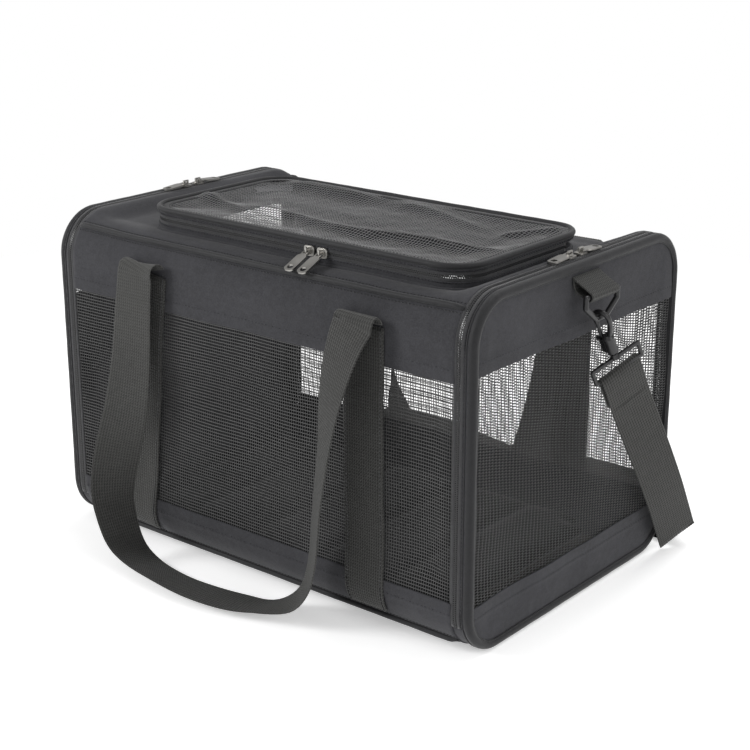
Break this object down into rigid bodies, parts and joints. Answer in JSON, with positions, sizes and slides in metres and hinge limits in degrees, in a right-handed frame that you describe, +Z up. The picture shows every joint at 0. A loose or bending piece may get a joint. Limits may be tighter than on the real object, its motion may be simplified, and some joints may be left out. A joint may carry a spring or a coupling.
{
  "type": "soft pet carrier bag",
  "caption": "Soft-sided pet carrier bag with net walls, a zipped net lid, zipped net end doors, webbing carrying handles and a clip-on shoulder strap.",
  "frame": {"origin": "middle of the flat underside", "axes": "+X along the bag towards the right end door, -Y towards the front face, +Z up"},
  "size_m": [0.4858, 0.4441, 0.2926],
  "materials": {
    "cloth": "woven polyester, matt",
    "net": "open polyester net",
    "strap_webbing": "ribbed polypropylene webbing",
    "piping": "cloth-covered cord",
    "zip_coil": "nylon coil",
    "zip_metal": "bright plated",
    "black_hardware": "gloss black",
    "adjuster_plastic": "gloss black",
    "board": "stiff sheet",
    "mat_fleece": "fleece"
  },
  "bodies": {
    "bag": {"back_lower_band": "cloth", "back_net": "net", "back_sewn_strips": "strap_webbing", "back_upper_band": "cloth", "base_board": "board", "bottom_panel": "cloth", "edge_piping": "piping", "end_sills": "cloth", "end_zips_fixed_half": "zip_coil", "floor_mat": "mat_fleece", "front_lower_band": "cloth", "front_net": "net", "front_sewn_strips": "strap_webbing", "front_upper_band": "cloth", "lid_collar": "cloth", "lid_zip_lower": "zip_coil", "top_panel": "cloth"},
    "top_lid": {"lid_net": "net", "lid_piping": "piping", "lid_wall": "cloth", "lid_zip_upper": "zip_coil"},
    "front_handle": {"front_handle": "strap_webbing"},
    "back_handle": {"back_handle": "strap_webbing"},
    "right_door": {"door_panel_right": "cloth", "door_net_right": "net", "door_hoop_right": "piping", "door_strip_right": "cloth", "door_zip_half_right": "zip_coil", "ring_tab_right": "strap_webbing"},
    "right_ring": {"strap_ring_right": "black_hardware"},
    "right_hook": {"hook_body_right": "black_hardware"},
    "right_bolt": {"hook_bolt_right": "black_hardware"},
    "right_strap_fall": {"hook_eye_right": "black_hardware", "strap_fall_right": "strap_webbing"},
    "right_strap_run": {"strap_run_right": "strap_webbing"},
    "right_front_slider": {"end_slider_front_right": "zip_metal"},
    "right_front_pull": {"end_pull_front_right": "zip_metal"},
    "right_back_slider": {"end_slider_back_right": "zip_metal"},
    "right_back_pull": {"end_pull_back_right": "zip_metal"},
    "left_door": {"door_panel_left": "cloth", "door_net_left": "net", "door_hoop_left": "piping", "door_strip_left": "cloth", "door_zip_half_left": "zip_coil", "ring_tab_left": "strap_webbing"},
    "left_ring": {"strap_ring_left": "black_hardware"},
    "left_hook": {"hook_body_left": "black_hardware"},
    "left_bolt": {"hook_bolt_left": "black_hardware"},
    "left_strap_fall": {"hook_eye_left": "black_hardware", "strap_fall_left": "strap_webbing"},
    "left_strap_run": {"strap_run_left": "strap_webbing"},
    "left_front_slider": {"end_slider_front_left": "zip_metal"},
    "left_front_pull": {"end_pull_front_left": "zip_metal"},
    "left_back_slider": {"end_slider_back_left": "zip_metal"},
    "left_back_pull": {"end_pull_back_left": "zip_metal"},
    "lid_left_slider": {"lid_slider_left": "zip_metal"},
    "lid_left_pull": {"lid_pull_left": "zip_metal"},
    "lid_right_slider": {"lid_slider_right": "zip_metal"},
    "lid_right_pull": {"lid_pull_right": "zip_metal"},
    "strap_adjuster": {"strap_adjuster": "adjuster_plastic"}
  },
  "joints": [
    {"name": "lid_hinge", "type": "hinge", "parent": "bag", "child": "top_lid", "pos_m": [0.023, 0.048, 0.2819], "axis": [-1, 0, 0], "range_deg": [0, 130]},
    {"name": "front_handle_swing", "type": "hinge", "parent": "bag", "child": "front_handle", "pos_m": [0, -0.1466, 0.247], "axis": [1, 0, 0], "range_deg": [-170, 0]},
    {"name": "back_handle_swing", "type": "hinge", "parent": "bag", "child": "back_handle", "pos_m": [0, 0.1466, 0.247], "axis": [-1, 0, 0], "range_deg": [-170, 0]},
    {"name": "right_door_hinge", "type": "hinge", "parent": "bag", "child": "right_door", "pos_m": [0.214, 0, 0.004], "axis": [0, 1, 0], "range_deg": [0, 80]},
    {"name": "right_ring_swing", "type": "hinge", "parent": "right_door", "child": "right_ring", "pos_m": [0.231, 0.001, 0.257], "axis": [0, 1, 0], "range_deg": [-80, 0]},
    {"name": "right_hook_hang", "type": "hinge", "parent": "right_ring", "child": "right_hook", "pos_m": [0.231, 0.001, 0.238], "axis": [0, 1, 0], "range_deg": [0, 80]},
    {"name": "right_bolt_slide", "type": "slide", "parent": "right_hook", "child": "right_bolt", "axis": [0, -0.5299, 0.848], "range_m": [-0.009, 0]},
    {"name": "right_swivel", "type": "hinge", "parent": "right_hook", "child": "right_strap_fall", "pos_m": [0.231, 0.0222, 0.20408], "axis": [0, -0.5299, 0.848], "range_deg": [-10, 0]},
    {"name": "right_strap_fold", "type": "hinge", "parent": "right_strap_fall", "child": "right_strap_run", "pos_m": [0.214, 0.15, 0.004], "axis": [0, 1, 0], "range_deg": [-80, 0]},
    {"name": "right_front_slider_run", "type": "slide", "parent": "bag", "child": "right_front_slider", "axis": [0, 1, 0], "range_m": [-0.09, 0.002]},
    {"name": "right_front_pull_flip", "type": "hinge", "parent": "right_front_slider", "child": "right_front_pull", "pos_m": [0.2045, -0.004, 0.2835], "axis": [-1, 0, 0], "range_deg": [0, 100]},
    {"name": "right_back_slider_run", "type": "slide", "parent": "bag", "child": "right_back_slider", "axis": [0, 1, 0], "range_m": [-0.002, 0.09]},
    {"name": "right_back_pull_flip", "type": "hinge", "parent": "right_back_slider", "child": "right_back_pull", "pos_m": [0.2045, 0.011, 0.2835], "axis": [1, 0, 0], "range_deg": [0, 100]},
    {"name": "left_door_hinge", "type": "hinge", "parent": "bag", "child": "left_door", "pos_m": [-0.214, 0, 0.004], "axis": [0, -1, 0], "range_deg": [0, 80]},
    {"name": "left_ring_swing", "type": "hinge", "parent": "left_door", "child": "left_ring", "pos_m": [-0.231, 0.001, 0.257], "axis": [0, -1, 0], "range_deg": [-80, 0]},
    {"name": "left_hook_hang", "type": "hinge", "parent": "left_ring", "child": "left_hook", "pos_m": [-0.231, 0.001, 0.238], "axis": [0, -1, 0], "range_deg": [0, 80]},
    {"name": "left_bolt_slide", "type": "slide", "parent": "left_hook", "child": "left_bolt", "axis": [0, -0.5299, 0.848], "range_m": [-0.009, 0]},
    {"name": "left_swivel", "type": "hinge", "parent": "left_hook", "child": "left_strap_fall", "pos_m": [-0.231, 0.0222, 0.20408], "axis": [0, 0.5299, -0.848], "range_deg": [-10, 0]},
    {"name": "left_strap_fold", "type": "hinge", "parent": "left_strap_fall", "child": "left_strap_run", "pos_m": [-0.214, 0.15, 0.004], "axis": [0, -1, 0], "range_deg": [-80, 0]},
    {"name": "left_front_slider_run", "type": "slide", "parent": "bag", "child": "left_front_slider", "axis": [0, 1, 0], "range_m": [-0.09, 0.002]},
    {"name": "left_front_pull_flip", "type": "hinge", "parent": "left_front_slider", "child": "left_front_pull", "pos_m": [-0.2045, -0.004, 0.2835], "axis": [-1, 0, 0], "range_deg": [0, 100]},
    {"name": "left_back_slider_run", "type": "slide", "parent": "bag", "child": "left_back_slider", "axis": [0, 1, 0], "range_m": [-0.002, 0.09]},
    {"name": "left_back_pull_flip", "type": "hinge", "parent": "left_back_slider", "child": "left_back_pull", "pos_m": [-0.2045, 0.011, 0.2835], "axis": [1, 0, 0], "range_deg": [0, 100]},
    {"name": "lid_left_slider_run", "type": "slide", "parent": "bag", "child": "lid_left_slider", "axis": [1, 0, 0], "range_m": [-0.122, 0.001]},
    {"name": "lid_left_pull_swing", "type": "hinge", "parent": "lid_left_slider", "child": "lid_left_pull", "pos_m": [0.042, -0.1169, 0.2819], "axis": [-1, 0, 0], "range_deg": [0, 115]},
    {"name": "lid_right_slider_run", "type": "slide", "parent": "bag", "child": "lid_right_slider", "axis": [1, 0, 0], "range_m": [-0.001, 0.098]},
    {"name": "lid_right_pull_swing", "type": "hinge", "parent": "lid_right_slider", "child": "lid_right_pull", "pos_m": [0.055, -0.1169, 0.2819], "axis": [-1, 0, 0], "range_deg": [0, 115]},
    {"name": "adjuster_slide", "type": "slide", "parent": "right_strap_run", "child": "strap_adjuster", "axis": [1, 0, 0], "range_m": [-0.05, 0.055]}
  ],
  "couplings": [
    {"joint": "right_hook_hang", "follows": "right_ring_swing", "ratio": -1},
    {"joint": "right_strap_fold", "follows": "right_door_hinge", "ratio": -1},
    {"joint": "left_hook_hang", "follows": "left_ring_swing", "ratio": -1},
    {"joint": "left_strap_fold", "follows": "left_door_hinge", "ratio": -1}
  ]
}
